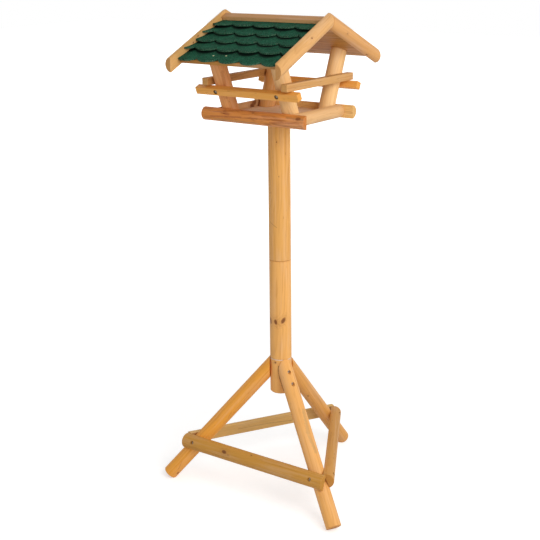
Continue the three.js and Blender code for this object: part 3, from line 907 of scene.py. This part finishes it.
def outer_face(node, outward):
    """The middle of the largest face of a batten that looks along outward, and its normal."""
    mesh = frame["nodes"][node].data
    face = max((p for p in mesh.polygons if p.normal.dot(outward) > 0.7), key=lambda p: p.area)
    low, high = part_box(node)
    middle = (low + high) / 2
    return middle + face.normal * (face.center - middle).dot(face.normal), face.normal.copy()


# How deep the head of a rail screw lies in its hole, how long the screw is, and how large its head is next
# to the head of a leg's screw
RAIL_SCREW_SINK = 1.8 * MM
RAIL_SCREW_LENGTH = 12 * MM
RAIL_SCREW_SHARE = 0.62


def rail_screw_places():
    """The screws at the bottom of the front and back rails' holes."""
    low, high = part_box("roof_post_front_right")
    across = (low.x + high.x) / 2
    places = []
    for node, outward in (("rail_front", -1.0), ("rail_back", 1.0)):
        middle, normal = outer_face(node, Vector((0.0, outward, 0.0)))
        for x in (-across, across):
            place = Vector((x, middle.y, middle.z)) - normal * RAIL_SCREW_SINK
            places.append((place, normal, RAIL_SCREW_LENGTH))
    return places


# What the photograph shows of each CAD node of timber, as values for the function timber. The stain is the
# setting of the node's own name where none is given
LOOKS = {
    "post_stub": dict(
        seed=3, knots=[((0.0022, -0.0800, 0.3736), 2.3 * MM, 0.95, 1.2, (1.0, 0.0, 0.2))],
        # Painted shade in the gap down the side of the leg that is notched over the foot of the post
        streaks=chain((
            (0.0118, -0.0778, 0.3640), (0.0113, -0.0781, 0.3500), (0.0146, -0.0766, 0.3290),
            (0.0196, -0.0729, 0.3065), (0.0230, -0.0693, 0.2895),
        ), 1.9 * MM, SHADOW, 0.6),
    ),
    "post_middle": dict(
        seed=11, pith=(6 * MM, -4 * MM),
        knots=[
            ((0.0041, -0.0798, 0.4933), 4.1 * MM, 1.0, 1.7, (-0.2, 0.0, 1.0)),
            ((0.0230, -0.0693, 0.4983), 4.6 * MM, 1.0, 2.0, (0.62, 0.3, 1.0)),
            ((-0.0149, -0.0761, 0.4929), 3.8 * MM, 0.95, 2.2, (-0.15, 0.0, 1.0)),
        ],
    ),
    "post_top": dict(
        seed=23, pith=(-7 * MM, 5 * MM),
        knots=[
            ((0.0114, -0.0780, 0.9943), 1.4 * MM, 0.8),
            ((0.0160, -0.0760, 0.9020), 1.0 * MM, 0.6),
            ((-0.0080, -0.0790, 0.8560), 0.9 * MM, 0.5),
        ],
        # The scratch bends round the post, so it runs over four points of its surface
        streaks=chain((
            (-0.0124, -0.0775, 0.7762), (-0.0050, -0.0797, 0.7716), (0.0027, -0.0800, 0.7669),
            (0.0102, -0.0783, 0.7623),
        ), 1.0 * MM, SCRATCHED, 0.5),
    ),
    "leg_back": dict(
        seed=31, pith=(7 * MM, 3 * MM),
        knots=[((0.0115, 0.0690, 0.2236), 3.0 * MM, 0.45), ((0.0120, 0.0973, 0.1916), 2.0 * MM, 0.15)],
    ),
    "leg_left": dict(
        seed=36, pith=(5 * MM, 6 * MM), rings=0.5,
        knots=[((-0.2546, -0.2146, 0.0171), 2.4 * MM, 0.8)],
        streaks=[
            ((-0.1219, -0.1415, 0.1974), (-0.1116, -0.1379, 0.2172), 1.6 * MM, RUSSET, 0.35),
            ((-0.2391, -0.2125, 0.0573), (-0.2495, -0.2171, 0.0324), 1.6 * MM, RUSSET, 0.45),
        ],
    ),
    "leg_right": dict(
        seed=43, pith=(8 * MM, 2 * MM),
        streaks=[
            ((0.1158, -0.1080, 0.2685), (0.1507, -0.1371, 0.2193), 6.5 * MM, MOSS, 0.32),
            ((0.1564, -0.1403, 0.2118), (0.1841, -0.1495, 0.1775), 5.5 * MM, MOSS, 0.30),
        ],
    ),
    "stretcher_front": dict(
        seed=47,
        knots=[
            ((-0.0857, -0.2089, 0.1280), 4.4 * MM, 0.9, 1.7, (1.0, 0.0, -0.15)),
            ((0.0018, -0.1980, 0.1372), 1.7 * MM, 0.9, 1.2, (1.0, 0.0, 0.0)),
            ((-0.0700, -0.2110, 0.1230), 1.5 * MM, 0.4),
        ],
    ),
    "stretcher_right": dict(
        seed=53,
        knots=[((0.1807, -0.0510, 0.1316), 1.4 * MM, 0.6), ((0.1936, -0.0764, 0.1331), 1.3 * MM, 0.5)],
    ),
    "stretcher_left": dict(
        seed=59,
        streaks=[
            ((-0.1602, -0.0465, 0.1174), (-0.1084, 0.0435, 0.1168), 1.3 * MM, UMBER, 0.4),
            ((-0.1084, 0.0435, 0.1168), (-0.0748, 0.1079, 0.1101), 1.3 * MM, UMBER, 0.5),
        ],
    ),
    "tray_log_front": dict(
        seed=61, pith=(8 * MM, 3 * MM), rings=0.9, fibre=1.15, mottle=0.95,
        flecks=1.0, late=0.40,
        knots=[((0.0038, -0.1697, 1.0823), 2.4 * MM, 0.5), ((0.1449, -0.1730, 1.0790), 4.5 * MM, 0.7)],
        streaks=[
            ((-0.1300, -0.1765, 1.0650), (-0.0300, -0.1765, 1.0690), 2.6 * MM, RED, 0.5),
            ((-0.0821, -0.1758, 1.0736), (-0.0700, -0.1760, 1.0730), 3.0 * MM, RED, 0.6),
            ((0.0600, -0.1760, 1.0640), (0.1500, -0.1765, 1.0680), 2.4 * MM, RED, 0.45),
            ((-0.1200, -0.1720, 1.0580), (0.0200, -0.1720, 1.0560), 3.6 * MM, OCHRE, 0.45),
            ((0.1100, -0.1725, 1.0790), (0.1600, -0.1735, 1.0770), 3.4 * MM, DUSK, 0.4),
        ],
    ),
    "tray_log_right": dict(stain="tray_logs", seed=67, pith=(8 * MM, 2 * MM)),
    "tray_log_back": dict(seed=71, pith=(11 * MM, 0.0), rings=2.2),
    "tray_log_left": dict(
        stain="tray_logs", seed=73, pith=(8 * MM, -2 * MM), rings=1.3, mottle=0.3,
        knots=[
            ((-0.1178, -0.0008, 1.0798), 7.0 * MM, 0.9, 1.3, (0.0, 1.0, 0.3)),
            ((-0.1177, -0.0100, 1.0690), 8.0 * MM, 1.0, 1.2, (0.0, 0.5, -1.0)),
        ],
    ),
    "tray_floor": dict(seed=79, pith=(50 * MM, 40 * MM), along=(1, 0, 0), mottle=0.25),
    "roof_post_front_left": dict(
        stain="roof_post_red", seed=83, rings=1.2, mottle=0.25,
        streaks=[
            ((-0.0784, -0.1879, 1.1829), (-0.0805, -0.1769, 1.1485), 6.0 * MM, AMBER, 0.5),
            ((-0.0805, -0.1769, 1.1485), (-0.0836, -0.1657, 1.1137), 3.4 * MM, AMBER, 0.45),
            ((-0.0900, -0.1640, 1.1150), (-0.0750, -0.1560, 1.0973), 1.6 * MM, AMBER, 0.6),
        ],
    ),
    "roof_post_front_right": dict(stain="roof_posts", seed=86),
    "roof_post_back_right": dict(stain="roof_posts", seed=89, fibre=0.8),
    "roof_post_back_left": dict(stain="roof_post_back", seed=92, rings=0.8),
    "rail_back": dict(stain="rails", seed=101, end_shade=0.85),
    "rail_front": dict(stain="rails", seed=104, end_shade=0.85),
    "rail_left": dict(stain="rail_sides", seed=107, end_shade=1.0),
    "rail_right": dict(stain="rail_sides", seed=110, end_shade=1.0),
    "rafter_back_left": dict(stain="rafter_left", seed=127),
    "rafter_back_right": dict(
        stain="rafter_back", seed=130,
        knots=[((0.1785, 0.0018, 1.2752), 1.6 * MM, 0.5), ((0.1685, 0.1130, 1.2127), 2.2 * MM, 0.5)],
    ),
    "rafter_front_left": dict(
        stain="rafter_left", seed=133,
        knots=[((-0.1616, -0.1801, 1.2692), 2.0 * MM, 0.7), ((-0.1616, -0.1990, 1.2542), 2.0 * MM, 0.7)],
    ),
    "rafter_front_right": dict(
        stain="rafter_front", seed=136,
        knots=[((0.1773, -0.1592, 1.2760), 1.9 * MM, 0.8, 1.3, (0.0, -0.9, -0.4))],
    ),
}


# The seeds of the first plank and of the first ridge board
PLANK_SEED = 151
RIDGE_SEED = 181


def dress(start, **values):
    """Timber for the CAD nodes of the table above whose names start so, with values that they share."""
    for node, look in LOOKS.items():
        if node.startswith(start):
            timber(node, **{"stain": node, **look, **values})


# Operators


class BIRDTABLE_OT_post(bpy.types.Operator):
    """Stain the main post's three lengths, with the knots, scratch and bare seam of the real one"""

    bl_idname = "birdtable.post"
    bl_label = "Main post"

    def execute(self, context):
        seam = (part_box("post_stub")[1].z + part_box("post_middle")[0].z) / 2
        dress("post_stub", seam=seam)
        dress("post_middle", seam=seam)
        dress("post_top")
        for node in nodes_named("post_dowel") + ["tray_dowel"]:
            timber(node, "dowels", 5, fibre=0.6)
        return {"FINISHED"}


class BIRDTABLE_OT_legs(bpy.types.Operator):
    """Stain the tripod's legs"""

    bl_idname = "birdtable.legs"
    bl_label = "Legs"

    def execute(self, context):
        for side in ("back", "left", "right"):
            holes = [screw_place(screw)[0] for screw in nodes_named(f"leg_screw_{side}")]
            dress(f"leg_{side}", holes=holes)
        return {"FINISHED"}


# From a stretcher screw's head out to the mouth of its hole
STRETCHER_SINK = 5 * MM


class BIRDTABLE_OT_stretchers(bpy.types.Operator):
    """Stain the half-round stretchers, which are duller than the legs"""

    bl_idname = "birdtable.stretchers"
    bl_label = "Stretchers"

    def execute(self, context):
        for side in ("front", "right", "left"):
            places = [screw_place(screw) for screw in nodes_named(f"stretcher_screw_{side}")]
            holes = [place + way * STRETCHER_SINK for place, way, _ in places]
            dress(f"stretcher_{side}", pith=(9 * MM, 2 * MM), rings=0.6, end_shade=0.85, holes=holes)
        return {"FINISHED"}


class BIRDTABLE_OT_tray(bpy.types.Operator):
    """Stain the tray's floor and its four logs"""

    bl_idname = "birdtable.tray"
    bl_label = "Tray"

    def execute(self, context):
        dress("tray_")
        return {"FINISHED"}


class BIRDTABLE_OT_house(bpy.types.Operator):
    """Stain the roof posts, rails, rafters, planks and ridge boards"""

    bl_idname = "birdtable.house"
    bl_label = "House"

    def execute(self, context):
        dress("roof_post_", pith=(6 * MM, -5 * MM))
        holes = [place + way * MM for place, way, _ in rail_screw_places()]
        for side in ("back", "front", "left", "right"):
            dress(f"rail_{side}", pith=(38 * MM, 22 * MM), hole_shade=0.92,
                  holes=holes if side in ("back", "front") else ())
        dress("rafter_", pith=(9 * MM, 3 * MM), fibre=1.1)
        for order, node in enumerate(nodes_named("roof_plank_")):
            timber(node, "planks", PLANK_SEED + 3 * order, pith=(42 * MM, 14 * MM), rings=1.7, fibre=1.5,
                   mottle=0.35)
        # The ridge boards' narrow sides take the paler colour of painted light
        for order, node in enumerate(nodes_named("ridge_board_")):
            timber(node, "ridge", RIDGE_SEED + 3 * order, pith=(30 * MM, 24 * MM), rings=0.9,
                   sides="ridge_sides_painted_light")
        return {"FINISHED"}


# The left corners of the real sheets stand up from the roof and hang lower, each by its own amount, and the
# top and the bottom course are longer than the others. By course, from the ridge down: how far the corner
# stands up, how far it hangs lower, and how much longer the course is
FELT_COURSES = {
    1: (2.0 * MM, 5.0 * MM, 4.0 * MM),
    2: (7.0 * MM, 10.0 * MM, 0.0),
    3: (4.5 * MM, 3.0 * MM, 0.0),
    4: (7.0 * MM, 9.0 * MM, 0.0),
    5: (1.0 * MM, 0.0, 2.5 * MM),
}
# Where the tabs of the odd and the even courses begin, in tabs
FELT_SHIFTS = {1: 0.63, 0: 0.14}
# How much of a course shows below the one above it
FELT_SHOWS = 42 * MM

# X and Y of the two nails that the photograph shows, the height of a nail's head, and how far above the
# slope the search for the felt's surface begins
NAILS_SEEN = ((-65.7 * MM, -238.1 * MM), (-27.9 * MM, -234.6 * MM))
NAIL_HEAD_HEIGHT = 0.9 * MM
NAIL_SEARCH = 20 * MM


def slope_of(node):
    """A felt node's corners, the way down its slope and its outward normal."""
    mesh = frame["nodes"][node].data
    normal = max((p for p in mesh.polygons if p.normal.z > 0.5), key=lambda p: p.area).normal.copy()
    way = Vector((1.0, 0.0, 0.0)).cross(normal).normalized()
    return corners_of(node), (way if (way.y > 0) == ("back" in node) else -way), normal


class BIRDTABLE_OT_felt(bpy.types.Operator):
    """Lay the felt: ten courses of round tabs with granules on top and bitumen below, and its nails"""

    bl_idname = "birdtable.felt"
    bl_label = "Felt courses"

    def execute(self, context):
        felt = context.scene.bird_felt
        granules, bitumen = granule_material(), bitumen_material()
        tree = felt_tree(granules)
        for seed, node in enumerate(nodes_named("felt_")):
            self.lay(felt, tree, node, seed, bitumen)
        self.nail(context.scene.bird_fittings)
        return {"FINISHED"}

    def lay(self, felt, tree, node, seed, bitumen):
        corners, way, normal = slope_of(node)
        course = int(node[-1])
        downs = corners @ np.array(way)
        top = way * downs.min() + normal * (corners @ np.array(normal)).max()
        notches = float(np.ptp(downs) - felt.tab_depth)
        corner_lift, corner_drop, longer = FELT_COURSES[course]
        # No course lies on the top one, so its edge above is out of the way
        above = notches - FELT_SHOWS + FELT_COURSES[course - 1][2] if course > 1 else -FELT_SHOWS
        holder = holder_with(tree, {
            "Columns": felt.columns, "Rows": felt.rows, "Width": float(np.ptp(corners[:, 0])),
            "Notches": notches + longer, "Above": above, "Tab Width": felt.tab_width,
            "Tab Depth": felt.tab_depth, "Shift": FELT_SHIFTS[course % 2] * felt.tab_width,
            "Lift": felt.lift, "Corner Lift": corner_lift, "Corner Drop": corner_drop,
            "Ripple": felt.ripple, "Seed": seed * 3.7,
        })
        thick = holder.modifiers.new("Thickness", "SOLIDIFY")
        thick.thickness = felt.thickness
        thick.offset = -1.0
        thick.material_offset = 1
        thick.material_offset_rim = 1
        piece = finished(holder, node.replace("felt_", "felt_course_"))
        piece.data.materials.append(bitumen)
        side = way.cross(normal)
        piece.data.transform(Matrix.Translation(top) @ Matrix((side, way, normal)).transposed().to_4x4())
        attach(piece, BODY)
        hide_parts(node)

    def nail(self, fittings):
        """Two clout nails hold the front's last course, as the photograph shows, and two the back's."""
        middle = (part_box("felt_front_5")[0].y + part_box("felt_back_5")[1].y) / 2
        places = []
        for node, turned in (("felt_front_5", 1.0), ("felt_back_5", -1.0)):
            corners, _, normal = slope_of(node)
            plane = float((corners @ np.array(normal)).max())
            sheet = bpy.data.objects[node.replace("felt_", "felt_course_")].data
            sheet = BVHTree.FromPolygons([v.co for v in sheet.vertices], [p.vertices for p in sheet.polygons])
            for x, y in NAILS_SEEN:
                y = y if turned > 0 else 2 * middle - y
                start = Vector((x * turned, y, (plane - normal.y * y) / normal.z)) + normal * NAIL_SEARCH
                places.append((sheet.ray_cast(start, -normal)[0], normal, 0.0))
        zinc = steel_material("nail_zinc", tuple(fittings.zinc), 0.35)
        values = {"Head Radius": fittings.nail_radius, "Head Height": NAIL_HEAD_HEIGHT}
        nails = finished(holder_with(nail_tree(zinc), values, places_mesh(places)), "felt_nails")
        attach(nails, BODY)


class BIRDTABLE_OT_fasteners(bpy.types.Operator):
    """Fit cross-recess screws in the legs, stretchers and rails"""

    bl_idname = "birdtable.fasteners"
    bl_label = "Screws"

    def execute(self, context):
        fittings = context.scene.bird_fittings
        tree = screw_tree(steel_material("screw_steel", tuple(fittings.steel)))
        for start, name in (("leg_screw_", "leg_screws"), ("stretcher_screw_", "stretcher_screws")):
            nodes = nodes_named(start)
            piece = self.fit(fittings, tree, name, [screw_place(node) for node in nodes])
            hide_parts(*nodes)
        self.fit(fittings, tree, "rail_screws", rail_screw_places(), RAIL_SCREW_SHARE)
        return {"FINISHED"}

    def fit(self, fittings, tree, name, places, share=1.0):
        values = {"Head Radius": fittings.head_radius * share, "Recess Depth": fittings.recess_depth}
        piece = finished(holder_with(tree, values, places_mesh(places)), name)
        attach(piece, BODY)
        return piece


class BIRDTABLE_OT_stage(bpy.types.Operator):
    """Set the plain floor, the lamps, the world and the camera"""

    bl_idname = "birdtable.stage"
    bl_label = "Studio"

    def execute(self, context):
        make_floor(context.scene)
        make_world(context.scene)
        make_lamps(context.scene)
        make_camera(context.scene)
        context.scene.view_settings.view_transform = "Standard"
        return {"FINISHED"}


WHITE = (1.0, 1.0, 1.0)
# From the middle of the floor to each side
FLOOR_REACH = 14.0
# The lamps fade between these distances from the table
FADE_FROM, FADE_TO = 0.9, 3.5
# Size, azimuth and elevation in degrees, and distance from the point that a lamp aims at
LAMPS = {"key": (1.6, 62.0, 28.0, 2.8), "rim": (1.2, 128.0, 26.0, 2.6)}
LAMP_AIM = Vector((0.0, 0.0, 0.7))
# The width of the camera's sensor in millimetres, and how near and far it sees in metres
SENSOR = 36.0
SEES_FROM, SEES_TO = 0.05, 100.0


def seen_directly(tree):
    """1 for rays that the camera, a mirror or glass sends, so that these see the plain background."""
    rays = tree.nodes.new("ShaderNodeLightPath")
    camera, glossy, clear = (
        Value(tree, rays.outputs[name]) for name in ("Is Camera Ray", "Is Glossy Ray", "Is Transmission Ray")
    )
    return camera.maths("MAXIMUM", glossy).maths("MAXIMUM", clear)


def make_floor(scene):
    mesh = bpy.data.meshes.new("floor")
    square = ((-1, -1), (1, -1), (1, 1), (-1, 1))
    mesh.from_pydata([(x * FLOOR_REACH, y * FLOOR_REACH, 0.0) for x, y in square], [], [(0, 1, 2, 3)])
    material, tree = new_material("pale_floor")
    # The glow makes up for the lamps where they fade
    glow = coordinates(tree, "Object").vector("LENGTH").smooth(FADE_FROM, FADE_TO) * 0.5
    glow = seen_directly(tree) * (glow + scene.bird_studio.floor_glow)
    surface(tree, Base_Color=scene.bird_studio.floor, Roughness=0.9, Specular_IOR_Level=0.1,
            Emission_Color=WHITE, Emission_Strength=glow)
    mesh.materials.append(material)
    floor = added("floor", mesh)


def make_world(scene):
    world = bpy.data.worlds.new("studio")
    scene.world = world
    world.use_nodes = True
    tree = world.node_tree
    seen = seen_directly(tree)
    feed_all(tree, tree.nodes["Background"].inputs, Color=WHITE,
             Strength=seen + seen.one_minus() * scene.bird_studio.sky)


def way_back(azimuth, elevation):
    """The way from a point to a lamp or camera that aims at it, for angles in radians."""
    level = math.cos(elevation)
    return Vector((math.sin(azimuth) * level, -math.cos(azimuth) * level, math.sin(elevation)))


def make_lamps(scene):
    for name, (size, azimuth, elevation, distance) in LAMPS.items():
        lamp = bpy.data.lights.new(name, "AREA")
        lamp.energy = getattr(scene.bird_studio, name)
        lamp.size = size
        back = way_back(math.radians(azimuth), math.radians(elevation))
        holder = added(name, lamp)
        holder.location = LAMP_AIM + back * distance
        holder.rotation_euler = back.to_track_quat("Z", "Y").to_euler()


def make_camera(scene):
    shot = scene.bird_camera
    lens = bpy.data.cameras.new("camera")
    lens.lens = shot.lens
    lens.sensor_width = SENSOR
    lens.clip_start, lens.clip_end = SEES_FROM, SEES_TO
    back = way_back(shot.azimuth, shot.elevation)
    right = Vector((math.cos(shot.azimuth), math.sin(shot.azimuth), 0.0))
    up = back.cross(right)
    across = right * math.cos(shot.roll) + up * math.sin(shot.roll)
    upward = up * math.cos(shot.roll) - right * math.sin(shot.roll)
    low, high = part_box("post_top")
    post = (low + high) / 2
    aim = Vector((post.x, post.y, shot.height)) + right * shot.aside
    turned = Matrix((across, upward, back)).transposed().to_4x4()
    camera = added("camera", lens)
    camera.matrix_world = Matrix.Translation(aim + back * shot.distance) @ turned
    scene.camera = camera


OPERATORS = (
    BIRDTABLE_OT_post,
    BIRDTABLE_OT_legs,
    BIRDTABLE_OT_stretchers,
    BIRDTABLE_OT_tray,
    BIRDTABLE_OT_house,
    BIRDTABLE_OT_felt,
    BIRDTABLE_OT_fasteners,
    BIRDTABLE_OT_stage,
)


class BIRDTABLE_PT_looks(bpy.types.Panel):
    """The table's steps and settings"""

    bl_label = "Bird table"
    bl_idname = "BIRDTABLE_PT_looks"
    bl_space_type = "VIEW_3D"
    bl_region_type = "UI"
    bl_category = "Bird table"

    def draw(self, context):
        for operator in OPERATORS:
            self.layout.operator(operator.bl_idname)
        for name, settings in SETTINGS.items():
            box = self.layout.box()
            box.label(text=settings.__doc__)
            for prop in settings.__annotations__:
                box.prop(getattr(context.scene, name), prop)


CLASSES = (*SETTINGS.values(), *OPERATORS, BIRDTABLE_PT_looks)


def register():
    for cls in CLASSES:
        bpy.utils.register_class(cls)
    for name, settings in SETTINGS.items():
        setattr(bpy.types.Scene, name, PointerProperty(type=settings))


def unregister():
    for name in SETTINGS:
        delattr(bpy.types.Scene, name)
    for cls in reversed(CLASSES):
        bpy.utils.unregister_class(cls)


def main():
    register()
    for operator in OPERATORS:
        group, name = operator.bl_idname.split(".")
        getattr(getattr(bpy.ops, group), name)()


if __name__ == "__main__":
    main()
